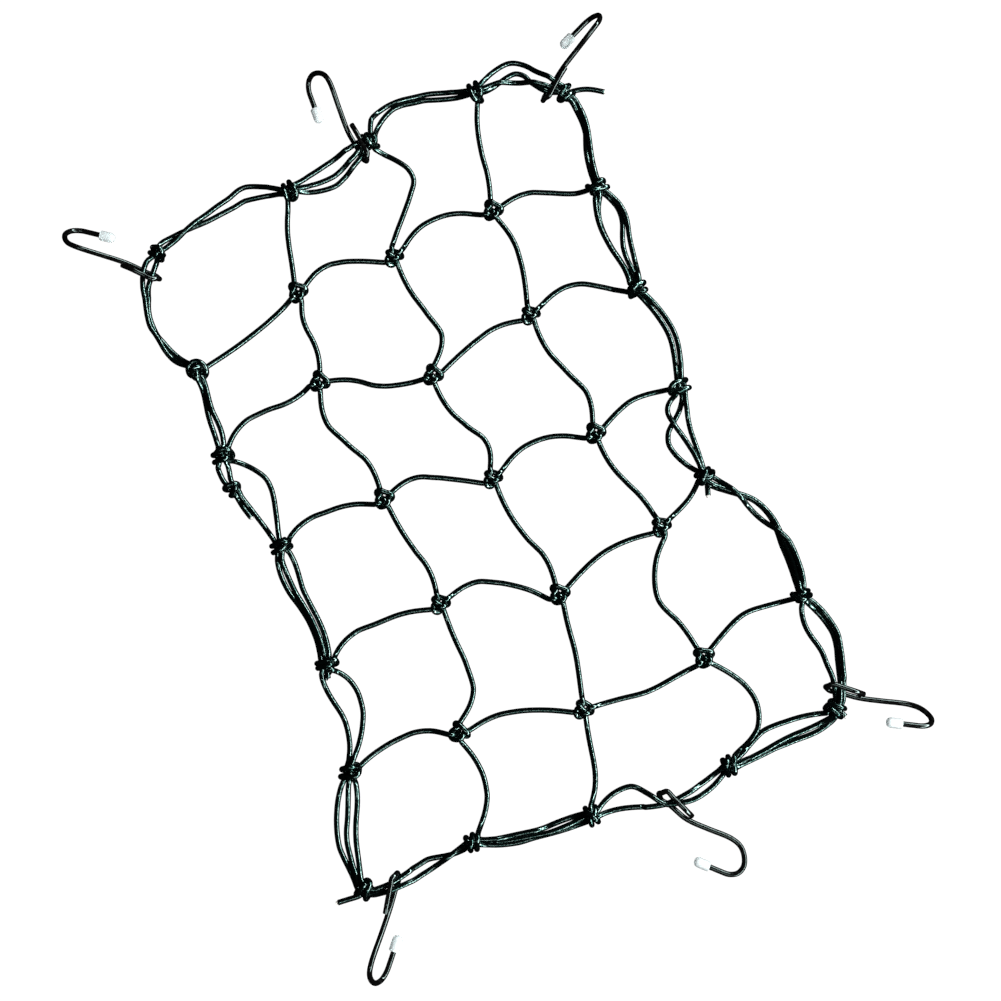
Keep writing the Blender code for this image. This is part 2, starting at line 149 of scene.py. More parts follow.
def shank_height(hook, back):
    """The height of the shank's middle this far back from the nose."""
    if hook.lie != "down":
        return WIRE / 2
    eye_end = WIRE / 2 + EYE_SLOPE * SHANK_START
    if back < SHANK_START:
        return WIRE / 2 + EYE_SLOPE * max(back, 0.0)
    top = TIP_RADIUS + mouth_rise(hook)
    return eye_end + (top - eye_end) * (back - SHANK_START) / (SHANK_END - SHANK_START)


def hook_line(hook):
    """The middle line of a hook's wire, from its cut end round the eye to the capped end."""
    origin, forward, aside = hook_frame(hook)
    near_leg = (hook.nose_off - hook.spread / 2) * MM
    far_leg = (hook.nose_off + hook.spread / 2) * MM
    cut_end = hook.cut_off * MM
    eye_back, eye_front = RETURNING_LEG[0].back, RETURNING_LEG[-1].back

    def place(back, off, height):
        return origin - forward * back - aside * off + Vector((0, 0, height))

    def eye_place(step, off):
        back = step.back * MM
        return place(back, off, shank_height(hook, back) + EYE_HEIGHT * step.lift)

    def leg_off(step):
        return far_leg + (cut_end - far_leg) * (step.back - eye_front) / (eye_back - eye_front)

    line = [eye_place(step, leg_off(step)) for step in RETURNING_LEG]
    line += [eye_place(step, near_leg + (far_leg - near_leg) * step.across) for step in NOSE]
    line += [eye_place(step, near_leg * step.across) for step in INTO_SHANK]
    shank_end = shank_height(hook, SHANK_END)
    tip = WIRE / 2 + mouth_rise(hook) if hook.lie == "up" else TIP_RADIUS
    line += [place(SHANK_END + step.back * MM, -step.across * hook.mouth * MM,
                   shank_end + (tip - shank_end) * step.across) for step in BEND]
    rim = HOOK_LENGTH - SHORT_LEG
    line += [place(back, -hook.mouth * MM, tip) for back in (rim, rim - TIP_BORE_DEPTH + GAP)]
    return smooth_line(line, WIRE_STEP)


class Value:
    """A shader socket that takes part in Python sums."""

    def __init__(self, finish, socket):
        self.finish, self.socket = finish, socket

    def __add__(self, other):
        return self.finish.sum("ADD", self, other)

    def __sub__(self, other):
        return self.finish.sum("SUBTRACT", self, other)

    def __rsub__(self, other):
        return self.finish.sum("SUBTRACT", other, self)

    def __mul__(self, other):
        return self.finish.sum("MULTIPLY", self, other)

    __radd__ = __add__
    __rmul__ = __mul__


class Finish:
    """A material whose varying values are built from Python expressions."""

    def __init__(self, name, **fixed):
        self.material = bpy.data.materials.new(name)
        self.material.use_nodes = True
        self.tree = self.material.node_tree
        self.shader = self.tree.nodes["Principled BSDF"]
        for socket, value in fixed.items():
            self.shader.inputs[socket.replace("_", " ")].default_value = value

    def node(self, kind, settings=(), out=0, **sockets):
        """A node with its settings made first, then the values or links of its sockets."""
        made = self.tree.nodes.new(kind)
        for setting, value in dict(settings).items():
            setattr(made, setting, value)
        for socket, value in sockets.items():
            place = int(socket[1:]) if socket[1:].isdigit() else socket.replace("_", " ")
            self.join(made.inputs[place], value)
        return Value(self, made.outputs[out])

    def join(self, socket, value):
        if isinstance(value, Value):
            self.tree.links.new(value.socket, socket)
        else:
            socket.default_value = value

    def sum(self, operation, first, second=0.0):
        """One step of shader arithmetic."""
        return self.node("ShaderNodeMath", {"operation": operation}, i0=first, i1=second)

    def mix(self, share, first, second):
        """The first colour where the share is 0, and the second where it is 1."""
        return self.node("ShaderNodeMix", {"data_type": "RGBA"}, out=2,
                         i0=share, i6=first, i7=second)

    def noise(self, scale, detail):
        """A cloudy pattern that is fixed to the object."""
        place = self.node("ShaderNodeTexCoord", out=3)
        return self.node("ShaderNodeTexNoise", Vector=place, Scale=scale, Detail=detail)

    def ramp(self, value, start, end):
        """From 0 where the value is the start to 1 where it is the end."""
        return self.node("ShaderNodeMapRange", Value=value, From_Min=start, From_Max=end)

    def bump(self, height, strength, distance):
        """The surface's direction where a height tilts it."""
        return self.node("ShaderNodeBump", Strength=strength, Distance=distance, Height=height)

    def drive(self, **sockets):
        """Links values into the shader's own sockets."""
        for socket, value in sockets.items():
            self.join(self.shader.inputs[socket.replace("_", " ")], value)


def coat_finish():
    """Black plastic coating: glossy, with a faint unevenness from the dip and a few dull rubs."""
    finish = Finish("coated_wire_black", Specular_IOR_Level=0.22, Coat_Roughness=0.05)
    rubbed = finish.ramp(finish.noise(220.0, 4.0), 0.55, 0.75)
    finish.drive(Base_Color=finish.mix(rubbed, (0.002, 0.002, 0.002, 1), (0.008, 0.009, 0.009, 1)),
                 Roughness=rubbed * 0.12 + 0.07, Coat_Weight=0.1 - rubbed * 0.08,
                 Normal=finish.bump(finish.noise(60.0, 1.0), 0.08, 0.0004))
    return finish.material


def cut_steel_finish():
    """The bare end of the wire: sheared steel with fine drag lines and a rusty tint."""
    finish = Finish("cut_steel", Metallic=0.9)
    drag = finish.noise(1800.0, 3.0)
    finish.drive(Base_Color=finish.mix(drag, (0.34, 0.3, 0.27, 1), (0.62, 0.62, 0.6, 1)),
                 Roughness=drag * 0.3 + 0.3, Normal=finish.bump(drag, 0.4, 0.0001))
    return finish.material


def pick_faces(piece, wanted):
    """Enters edit mode with only the faces selected that a test picks."""
    bpy.ops.object.mode_set(mode="OBJECT")
    mesh = piece.data
    for parts in (mesh.vertices, mesh.edges):
        parts.foreach_set("select", [False] * len(parts))
    mesh.polygons.foreach_set("select", [bool(wanted(face)) for face in mesh.polygons])
    bpy.ops.object.mode_set(mode="EDIT")


def bent_wire(name, line):
    """A coated wire along a line, with its cut end sheared and the steel showing."""
    bpy.ops.curve.primitive_nurbs_path_add()
    wire = bpy.context.object
    wire.name = name
    path = wire.data
    path.splines.clear()
    spline = path.splines.new("POLY")
    spline.points.add(len(line) - 1)
    spline.points.foreach_set("co", np.column_stack([line, np.ones(len(line))]).ravel())
    path.bevel_depth = COATED_WIRE / 2
    path.bevel_resolution = 8
    path.use_fill_caps = True
    bpy.ops.object.convert(target="MESH")
    wire = bpy.context.object
    wire.data.name = name
    wire.data.materials.clear()
    wire.data.materials.append(coat)
    wire.data.materials.append(cut_steel)
    bpy.context.tool_settings.mesh_select_mode = (False, False, True)
    cut = Vector(line[0])
    pick_faces(wire, lambda face: True)
    bpy.ops.mesh.remove_doubles(threshold=WELD)
    bpy.ops.mesh.normals_make_consistent(inside=False)
    pick_faces(wire, lambda face: len(face.vertices) > 4 and (face.center - cut).length < WIRE / 4)
    bpy.ops.mesh.inset(thickness=SHEAR_STEP, depth=SHEAR_HEIGHT)
    bpy.ops.mesh.inset(thickness=SHEAR_STEP)
    wire.active_material_index = 1
    bpy.ops.object.material_slot_assign()
    bpy.ops.object.mode_set(mode="OBJECT")
    bpy.ops.object.shade_smooth_by_angle(angle=CREASE)
    return wire


coat = coat_finish()
cut_steel = cut_steel_finish()
hook_lines = {hook.name: hook_line(hook) for hook in HOOKS}
for hook in HOOKS:
    wire = bent_wire("wire_" + hook.name, hook_lines[hook.name])
    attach(wire, "root")
    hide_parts("hook_" + hook.name)


# --- Soft tips ---
# A milky cap of soft plastic is pushed over the open end of each hook. It is moulded with a
# rounded end and a plain rim, and the dark wire shows faintly through it.
TIP_SIDES = 40

# The cap's section in mm, from its closed end down its outside, round its rim and up its bore.
Ring = namedtuple("Ring", "radius height")
TIP_RINGS = [Ring(*ring) for ring in (
    (1.2, 12.42), (2.1, 12.15), (3, 11.55), (3.7, 10.6), (4.08, 9.5), (4.2, 8.2), (4.2, 4),
    (4.2, 0.5), (4.05, 0.12), (3.7, 0), (2.8, 0), (2.45, 0.15), (2.33, 0.5), (2.33, 8.6),
    (2.1, 8.95), (1.6, 9.1))]


def tip_finish():
    """Milky soft plastic, with a faint cloud in it and a soft skin."""
    finish = Finish("soft_tip_milky", Transmission_Weight=0.3, IOR=1.42)
    cloud = finish.noise(300.0, 3.0)
    finish.drive(Base_Color=finish.mix(cloud, (0.66, 0.72, 0.73, 1), (0.76, 0.81, 0.82, 1)),
                 Roughness=cloud * 0.2 + 0.4, Normal=finish.bump(cloud, 0.06, 0.0003))
    return finish.material


def turned_cap():
    """The cap standing on its rim at the origin, drawn ring by ring from its closed end."""
    first = TIP_RINGS[0]
    bpy.ops.mesh.primitive_circle_add(vertices=TIP_SIDES, radius=first.radius * MM,
                                      fill_type="NGON", location=(0, 0, first.height * MM))
    cap = bpy.context.object
    bpy.ops.object.transform_apply(location=True, rotation=True, scale=True)
    bpy.ops.object.mode_set(mode="EDIT")
    bpy.ops.mesh.select_all(action="SELECT")
    for ring, after in zip(TIP_RINGS, TIP_RINGS[1:]):
        drop = (after.height - ring.height) * MM
        bpy.ops.mesh.extrude_region_move(TRANSFORM_OT_translate={"value": (0, 0, drop)})
        share = after.radius / ring.radius
        bpy.ops.transform.resize(value=(share, share, 1))
    bpy.ops.mesh.select_all(action="SELECT")
    bpy.ops.mesh.normals_make_consistent(inside=False)
    bpy.ops.object.mode_set(mode="OBJECT")
    bpy.ops.object.shade_smooth()
    cap.data.materials.append(tip_finish())
    return cap


def moved_copy(pattern, name, place, way):
    """A copy of a pattern that stands at a place with its height along a way."""
    mesh = pattern.data.copy()
    mesh.name = name
    mesh.transform(Matrix.Translation(place) @ way.to_track_quat("Z", "Y").to_matrix().to_4x4())
    copy = bpy.data.objects.new(name, mesh)
    scene.collection.objects.link(copy)
    return copy


pattern = turned_cap()
for hook in HOOKS:
    line = hook_lines[hook.name]
    leg = Vector(line[-1] - line[-4]).normalized()
    rim = Vector(line[-1]) - leg * (TIP_BORE_DEPTH - GAP)
    cap = moved_copy(pattern, "cap_" + hook.name, rim, leg)
    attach(cap, "root")
    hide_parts("tip_" + hook.name)
bpy.data.objects.remove(pattern)


# --- Net: the inner mesh ---
# Elastic cord, a bundle of rubber threads in a tight braided sleeve. One cord runs down the net
# in steps, along and across in turn, and is tied to its neighbour with a netting knot at every
# crossing.
CORD = 4.5 * MM            # over the sleeve of a slack cord
SNUG = 3.75 * MM           # how near the middles of two cords come where a knot squeezes them
PITCH = 95 * MM
COLUMNS = 5
ROWS = 7
HOLD = 20 * MM             # a knot is drawn tight inside this distance, where its cords are held
SHORT_HOLD = 12 * MM       # the same, where cords part from one another right beside the knot
ROUTE_STEP = 2 * MM        # how far apart the points of a strand's route are
ROPE_STEP = 1 * MM         # the same for a cord in a knot

# How far each knot has drifted from the even grid, in mm (across, along), far row first.
KNOT_DRIFT = (
    ((-1, -7), (26, 3), (6, 17), (11, 26), (-12.5, -3.5)),
    ((-2, -18), (1, 14), (-9, 13), (-13, 20), (-18, 5)),
    ((-10, 3), (-9, 32), (-15, 3), (-16, 21), (-20, 9)),
    ((9, 11), (6, 17), (0, 0), (-3, 4), (-18, 15)),
    ((10, 4), (18, 15), (16, -13), (19, 8), (-27, 35)),
    ((-3, 11), (-5, 9), (0, -11), (11, -8), (10, 9)),
    ((-24, 16), (-26, 20), (-24, 4), (-3, 0), (0, 10)),
)
# How far each strand bows to the left of its straight chord, in mm, at even steps along it. Rows
# run to the right and columns towards the near edge.
ACROSS = {
    1: ((-2.5, -3.5, -3), (13.5, 12.5, 6), (12.5, 15.5, 11), (6, 10, 10, 7.5, 4.5, 1, -2)),
    2: ((12, 9, 1), (2.5, -5, -5.5), (2.5, 6, 7), (14, 16.5, 7.5)),
    3: ((11, 10.5, 7.5), (13.5, 10, 3.5), (11.5, 14.5, 10), (6, 9.5, 7)),
    4: ((11.5, 10, 7), (15.5, 14, 7), (5.5, 8.5, 5.5), (-1.5, -3.5, -4)),
    5: ((7.5, 11.5, 11), (7, 8, 4.5), (-3, -7, -5), (8, 12.5, 7)),
}
ALONG = {
    1: ((-4.5, -4.5, -2.5), (-3, 2.5, 6), (-11, -4, 5), (0.5, 3, 6.5), (7, 14.5, 16.5),
        (11, 16.5, 14.5)),
    2: ((14.5, 27, 31, 25.5, 18, 10, 2.5), (3.5, 12, 18.5), (-3, 4, 13), (-2, 0.5, 6.5),
        (2, 3.5, 2.5), (2.5, 5, 5.5)),
    3: ((-2, -1.5, 1.5), (8.5, 8.5, 5), (-1.5, 5, 11.5), (-4, -1.5, 2.5), (-14, -20, -7),
        (24, 34, 29)),
}

# The netting knot, laid loosely before it is drawn tight, in mm. The bight comes in from the far
# strand and goes out to the right one, with its legs along the knot's own y. The collar comes in
# from the left, over the bight, down through it, round both legs, under itself, and out near.
Fold = namedtuple("Fold", "x y z")
BIGHT = [Fold(*fold) for fold in (
    (-9, 9, -2), (-3.5, 5, 0), (-4.6, -1, 0), (-4.2, -6, 0), (0, -9, 0), (4.2, -6, 0),
    (4.6, -1, 0), (3.5, 5, 0), (9, 9, -2))]
COLLAR = [Fold(*fold) for fold in (
    (-8.5, -9.5, 2), (-3.5, -7.5, 4.6), (-0.5, -4.8, 3), (0.8, -3.2, -1), (2, -1.6, -4.6),
    (4.6, 1.2, -4.8), (8, 3.8, -2.4), (8.6, 5.2, 1.6), (5.6, 5.8, 4.8), (0, 5.9, 5.2),
    (-5.6, 5.8, 4.8), (-8.6, 5.2, 1.6), (-8, 3.4, -2.2), (-5, 1.6, -4), (-1.6, 0.1, -1.6),
    (1.2, -1.2, -0.6), (4.8, -3.4, -3.8), (8.6, -7, -3.4))]
LOOSE_HEIGHT = 8
# The knots with their other side up, and how many rounds each is drawn: fewer is looser.
TURNED = {(1, 2), (2, 3), (3, 2), (4, 1), (4, 3), (5, 2)}
ROUNDS = 240
LOOSER = {(5, 1): 130}
# How a knot is drawn tight: in each round its cords shorten and sag, and are pushed apart where
# they touch. Which points are near each other is found anew every few rounds.
SHORTEN = 0.25
SAG = 0.02 * MM
PUSHES = 3
PUSH_SHARE = 0.35
GREATEST_PUSH = 0.5 * MM
LOOK_ROUNDS = 6
LOOK_NEAR = 1.5 * SNUG
OWN_CORD = 1.65 * SNUG     # a cord pushes itself apart beyond this length along it
NO_LENGTH = 1e-9           # keeps a length that is divided by from being nothing

knots = {}
for row, drifts in enumerate(KNOT_DRIFT):
    for column, (across, along) in enumerate(drifts):
        knots[row, column] = Vector(((column - COLUMNS // 2) * PITCH + across * MM,
                                     (ROWS // 2 - row) * PITCH + along * MM, 0))


def bowed(start, end, bows):
    """Even steps of the way from start to end, each off to the left by its bow in mm."""
    chord = end - start
    left = Vector((-chord.y, chord.x, 0)).normalized()
    shares = [(k + 1) / (len(bows) + 1) for k in range(len(bows))]
    return [start + chord * share + left * bow * MM for share, bow in zip(shares, bows)]


def strand(start, end, bows):
    """A strand's route along the floor between two knots."""
    lift = Vector((0, 0, CORD / 2))
    places = (start, *bowed(start, end, bows), end)
    return smooth_line([place + lift for place in places], ROUTE_STEP)


def reach(line, place):
    """How far each point of a line is from a knot, seen from above."""
    return np.linalg.norm(line[:, :2] - np.array(place)[:2], axis=1)


def approach(line, place, hold=HOLD):
    """The two points by which a knot holds a route that starts in it, from outside."""
    outside = int(np.argmax(reach(line, place) > hold))
    return [Vector(line[outside]), Vector(line[outside - 1])]


def draw_tight(ropes, rounds, still=()):
    """Ropes that are held at their ends draw short, push each other apart and settle."""
    counts = [len(line) for line in (*ropes, *still)]
    points = np.vstack((*ropes, *still))
    held = np.full(len(points), True)
    for start, rope in zip(np.cumsum([0] + counts), ropes):
        held[start + 2:start + len(rope) - 2] = False
    free = np.nonzero(~held)[0]
    owner = np.repeat(np.arange(len(counts)), counts)
    for turn in range(rounds):
        if turn % LOOK_ROUNDS == 0:
            gaps = points[:, None] - points[None]
            near = (gaps ** 2).sum(axis=2) < LOOK_NEAR ** 2
            run = np.r_[0, np.cumsum(np.linalg.norm(np.diff(points, axis=0), axis=1))]
            same = owner[:, None] == owner[None]
            near &= ~(same & (np.abs(run[:, None] - run[None]) < OWN_CORD))
            near &= ~(held[:, None] & held[None])
            first, second = np.nonzero(np.triu(near))
        points[free] += SHORTEN * (points[free - 1] + points[free + 1] - 2 * points[free])
        points[free, 2] -= SAG
        for _ in range(PUSHES):
            gap = points[second] - points[first]
            length = np.linalg.norm(gap, axis=1)
            push = PUSH_SHARE * np.maximum(SNUG - length, 0) / np.maximum(length, NO_LENGTH)
            push = gap * push[:, None]
            move = np.column_stack([np.bincount(second, push[:, k], len(points))
                                    - np.bincount(first, push[:, k], len(points))
                                    for k in range(3)])
            move[held] = 0
            moved = np.maximum(np.linalg.norm(move, axis=1), NO_LENGTH)
            move *= np.minimum(1, GREATEST_PUSH / moved)[:, None]
            points += move
            points[free, 2] = np.maximum(points[free, 2], CORD / 2)
    return np.split(points, np.cumsum(counts)[:-1])[:len(ropes)]


def loose_folds(folds, place, legs, up):
    """A knot's folds, laid at a place with its legs in a direction and one side up."""
    side = Vector((legs.y, -legs.x, 0))
    height = Vector((0, 0, 1))
    return [place + (side * fold.x + legs * fold.y + height * (LOOSE_HEIGHT + fold.z * up)) * MM
            for fold in folds]


spans = [((row, column), (row, column + 1), bows)
         for row, strands in ACROSS.items() for column, bows in enumerate(strands)]
spans += [((row, column), (row + 1, column), bows)
          for column, strands in ALONG.items() for row, bows in enumerate(strands)]
routes = {(start, end): strand(knots[start], knots[end], bows) for start, end, bows in spans}
routes.update({(end, start): line[::-1] for (start, end), line in list(routes.items())})

tied = {}
for knot in [(row, column) for row in range(1, ROWS - 1) for column in range(1, COLUMNS - 1)]:
    (row, column), place = knot, knots[knot]
    around = (row - 1, column), (row, column + 1), (row, column - 1), (row + 1, column)
    far, right, left, near = (approach(routes[knot, other], place) for other in around)
    legs = (far[0] - place).normalized() + (right[0] - place).normalized()
    legs = Vector((legs.x, legs.y, 0)).normalized()
    up = -1 if knot in TURNED else 1
    ropes = [far + loose_folds(BIGHT, place, legs, up) + right[::-1],
             left + loose_folds(COLLAR, place, legs, up) + near[::-1]]
    ropes = [smooth_line(rope, ROPE_STEP) for rope in ropes]
    tied[knot] = draw_tight(ropes, LOOSER.get(knot, ROUNDS))


# --- Net: the border ---
# Two to four cords run side by side from knot to knot round the edge, and through the eyes of the
# hooks. At each knot the inner cord is wrapped round the bundle and tucked under itself. Bows are
# as in the inner mesh, with the lowest cord first.
FAR_EDGE = (
    ((8.5, 8.5, 8, 7.5, 8, 8.5, 9.5, 6.5, 6), (1.5, 5.5, 9, 12.5, 15.5, 17.5, 20.5, 18, 9)),
    ((-8.5, -12.5, -15.5, -15.5, -13, -11, -9.5), (-3.5, -6, -7.5, -8, -7, -5.5, -3.5),
     (3, 3, 3.5, 4, 4, 4.5, 4.5)),
    ((10.5, 15, 18.5, 18.5, 16, 13.5, 9, 5, 2), (18.5, 22.5, 23, 22, 20.5, 18.5, 15.5, 11, 5.5)),
    ((0.5, 2.5, 8.5, 15.5, 18, 17.5, 13.5, 3.5, -0.5, -1.5, -1.5),
     (4.5, 8, 9.5, 10, 10, 9.5, 9, 8, 6, 3.5, 1.5),
     (9.5, 19, 23.5, 26.5, 27.5, 26.5, 24, 19.5, 15.5, 10.5, 5)),
)
NEAR_EDGE = (
    ((-3, -4.5, -4, -2.5, -1, 0, 1, 0.5, -3, -6.5, -5.5),
     (-7, -8.5, -8.5, -8.5, -9, -8, -7, -5.5, -4, -2.5, -1)),
    ((-7, -8.5, -9, -8, -7.5, -7, -6), (-4.5, -5.5, -6, -6, -6, -4.5, -2),
     (-2.5, -2, -2, -2, -1.5, 1, 2.5)),
    ((-2, -1.5, -4, -7, -9.5, -11, -10.5, -9, -7.5, -5, -3),
     (7, 11, 12, 10, 0.5, -11, -13.5, -15, -14.5, -13, -9.5)),
    ((-4, -4.5, -5, -5, -6, -7, -8.5, -10, -9), (-2.5, -2.5, -2.5, -2, -2, -2.5, -3.5, -4.5, -4.5),
     (2, 5.5, 9.5, 11.5, 11, 9.5, 8, 6, 2.5)),
)
LEFT_EDGE = (
    ((-2, -8.5, -16, -19.5, -22.5, -24, -24, -23, -20, -17, -14, -8.5),
     (-15, -17.5, -20, -21.5, -23.5, -25, -25.5, -23.5, -22, -21, -19, -14)),
    ((-0.5, -0.5, -1.5, -2.5, -2.5, -2.5, -2, -0.5, 0.5), (3, 3.5, 1.5, 1, 2, 4, 5, 6, 5.5)),
    ((8, 14.5, 18.5, 20.5, 19.5, 16.5, 12.5, 8, 4),),
    ((-8.5, -8.5, -6.5, -3, -0.5, 0.5, 0), (7.5, 5.5, 4.5, 5.5, 7, 8, 7.5),
     (-3.5, -3, -2, 0.5, 2.5, 3.5, 3.5)),
    ((-6.5, -4, 0.5, 4.5, 6, 6, 3), (14, 19.5, 21, 21, 18, 14, 7)),
    ((-10, -13, -15, -16, -15.5, -12.5, -6.5), (-2.5, -4, -6, -8.5, -9, -7.5, -4.5),
     (5, 4, 1, -1, -2, -2, -0.5)),
)
RIGHT_EDGE = (
    ((3, 5, 6, 5.5, 3, 0.5, -1.5, -1.5, -1.5), (8.5, 9, 8.5, 7.5, 6, 4.5, 3, 1.5, 1)),
    ((-6, -8.5, -9, -8.5, -7.5, -6, -3.5, -1.5, 0), (8.5, 11.5, 11.5, 8, 4.5, 2, 1, 1, 2),
     (-7, -10, -10.5, -10, -9, -7.5, -5, -3, -1), (10.5, 13, 14, 12.5, 10.5, 9, 8, 6.5, 5.5)),
    ((4.5, 6.5, 8.5, 9.5, 8.5, 6, 3.5), (8.5, 11.5, 13.5, 14.5, 13.5, 11, 6.5)),
    ((1.5, 1, -2, -11, -17, -20, -21, -20, -17.5, -13, -9),
     (2, 2, 0.5, -0.5, -0.5, -0.5, -0.5, 0.5, 1, 2, 2.5),
     (-14.5, -17, -17, -15, -12, -9, -6.5, -4.5, -2.5, -1.5, -1)),
    ((-1.5, 5.5, 13.5, 19, 21, 20.5, 17.5, 13.5, 10.5, 7, 3.5),
     (-1.5, 6, 13.5, 19, 21, 21, 19, 16, 13.5, 10, 6),
     (8, 9.5, 11, 12, 13, 15, 17.5, 19, 17, 14, 9)),
    ((-5.5, -6.5, -4.5, -0.5, 2.5, 3.5, 4.5, 4.5, 4.5), (6.5, 10.5, 14, 15.5, 15, 13, 11, 8.5, 8),
     (10, 14, 17, 18.5, 17.5, 16, 13.5, 11, 10.5)),
)
SPARE_KNOT = Vector((-202, 69, 0)) * MM
TO_SPARE = ((4.5, 4, 2.5, 1.5, 1), (-7.5, -7, -6, -4.5, -3))
FROM_SPARE = ((2, 2, 1.5, 1, 0.5),)
BUNDLE_STEP = 4.1 * MM     # how far apart the cords of a bundle are in a knot
BUNDLE_HEIGHT = 6 * MM
HALF_KNOT = 6 * MM
CLIMB = 16 * MM            # a cord climbs to a knot or a hook's eye over this length
PARALLEL = 5               # cords run side by side this far on either side of a knot, in mm
EYE_PLAY = 0.7 * MM        # how far above the middle of a hook's eye a cord may pass through it,
EYE_RISE = 12 * MM         # and how much higher at this length beside it
EYE_RISE_LENGTH = 14 * MM
BORDER_STEP = 1.6 * MM     # how far apart the points of a border cord's route are
CORD_STEP = 1.4 * MM       # the same for a finished cord
CORNER_STEP = 1.2 * MM     # the same for a hitch that is a cord of its own

# The hitch round the bundle: how far along it in mm, how far round it in degrees from the inner
# side over the top, and how far off it.
Wrap = namedtuple("Wrap", "along angle off")
HITCH = [Wrap(*wrap) for wrap in (
    (-1.8, 12, 1.5), (-2.1, 50, 0.5), (-2.1, 90, 0), (-2.1, 135, 0), (-2.1, 180, 0),
    (-2.4, 225, 0), (-3, 270, 0), (-4.2, 315, 0.5), (-4.4, 345, 3.4), (-0.8, 372, 5),
    (1.8, 400, 2.4), (2.2, 450, 0), (2.2, 495, 0), (2.2, 540, 0), (2.2, 585, 0), (2.2, 630, 0),
    (2, 675, 0), (1.6, 705, 0.3), (0.8, 730, 0.2), (0.4, 750, 0))]
BESIDE_BUNDLE = 2.1        # how far the loose hitch stays from the bundle's sides,
ABOVE_BUNDLE = 5.4         # and from its middle above and below, in mm
BUNDLE_MIDDLE = 8          # how high that is, in mm
SQUARENESS = 0.8           # its turns are squarer than a circle below 1
SQUEEZE = 0.55             # the share by which a bundle gets narrower in its knot
KNOT_LIFTS = (1.5, 4.5)    # how much its cords rise there, by turns, in mm
# The knot (1, 0) is a loose overhand loop instead, laid flat with its y pointing to the far side.
OVERHAND = [Fold(*fold) for fold in (
    (5, 4, -5), (0, -1, -5.6), (-5, -6, -5), (-8.5, -7, -2), (-9.7, -1, 2), (-6.8, 6.4, 4),
    (-1, 9, 5), (4.5, 6, 5), (7.5, 1, 4), (8.5, -4, 1), (5.5, -7, -2), (1, -7.5, -1),
    (-4, -5.5, 1.5), (-5.8, -0.5, 4), (-3, 4, 5.5), (1, 4.5, 6), (3.5, 1.5, 5), (2, -2, -2))]
# How each border hitch lies: mirrored or not, how far its crossing is rolled over the bundle in
# degrees, the end that sticks out of it, as (across, along) in mm up to its cut, how many rounds it
# is drawn, how near its cords are held, and how far past its middle, in mm, a border cord is cut.
Tie = namedtuple("Tie", "mirror roll tail rounds hold stub", defaults=((), 120, HOLD, 0))
TIES = {
    (0, 0): Tie(1, 40, hold=SHORT_HOLD),
    (0, 1): Tie(1, 0),
    (0, 2): Tie(-1, 30),
    (0, 3): Tie(-1, 0),
    (0, 4): Tie(1, 10, ((185, 283), (197.5, 280.5), (208.5, 272.5))),
    (1, 0): Tie(-1, 50, rounds=90),
    (1, 4): Tie(1, 20),
    (2, 0): Tie(1, 10, hold=SHORT_HOLD),
    (2, 4): Tie(-1, 40),
    (3, 0): Tie(1, 30, hold=SHORT_HOLD),
    (3, 4): Tie(-1, 15),
    (4, 0): Tie(1, 0, ((-183, -98.5), (-185, -102.5)), hold=SHORT_HOLD, stub=12),
    (4, 4): Tie(-1, 60, ((164, -67), (160, -77))),
    (5, 0): Tie(-1, 10, hold=SHORT_HOLD),
    (5, 4): Tie(1, 30),
    (6, 0): Tie(-1, 20, ((-220, -272), (-227.5, -271.5), (-237.5, -271))),
    (6, 1): Tie(1, 70, rounds=150),
    (6, 2): Tie(-1, 70),
    (6, 3): Tie(1, 40, rounds=150),
    (6, 4): Tie(-1, 20, ((193.5, -278.5), (195, -283))),
    "spare": Tie(1, 20, ((-201, 59.5), (-195, 42.5)), rounds=260, hold=SHORT_HOLD),
}

knots["spare"] = SPARE_KNOT
ring = [(0, c) for c in range(COLUMNS - 1)] + [(r, COLUMNS - 1) for r in range(ROWS - 1)]
ring += [(ROWS - 1, c) for c in range(COLUMNS - 1, 0, -1)]
ring += [(r, 0) for r in range(ROWS - 1, 0, -1)]
passage = {knot: (knots[after] - knots[before]).normalized()
           for before, knot, after in zip(ring[-1:] + ring[:-1], ring, ring[1:] + ring[:1])}
passage["spare"] = (knots[2, 0] - knots[3, 0]).normalized()


def ease(share):
    """From 0 at a share of 0 or less to 1 at 1 or more, softly."""
    share = np.clip(share, 0.0, 1.0)
    return share * share * (3 - 2 * share)


def through_eyes(spot):
    """Least and greatest height of a cord's middle at this spot, where it goes through an eye."""
    least, most = 0.0, 1.0
    for hook in HOOKS:
        origin, forward, aside = hook_frame(hook)
        back = -(spot - origin).dot(forward)
        off = -(spot - origin).dot(aside)
        if -WIRE < back < EYE_LENGTH + CORD:
            far_leg = (hook.nose_off + hook.spread / 2) * MM
            outside = max(-off, off - far_leg, 0.0)
            middle = shank_height(hook, back) + EYE_HEIGHT / 2
            least = max(least, middle * (1 - ease((outside - WIRE) / CLIMB)))
            rise = EYE_RISE * ease((outside - WIRE / 2) / EYE_RISE_LENGTH)
            most = min(most, middle + EYE_PLAY + rise)
    return least, most


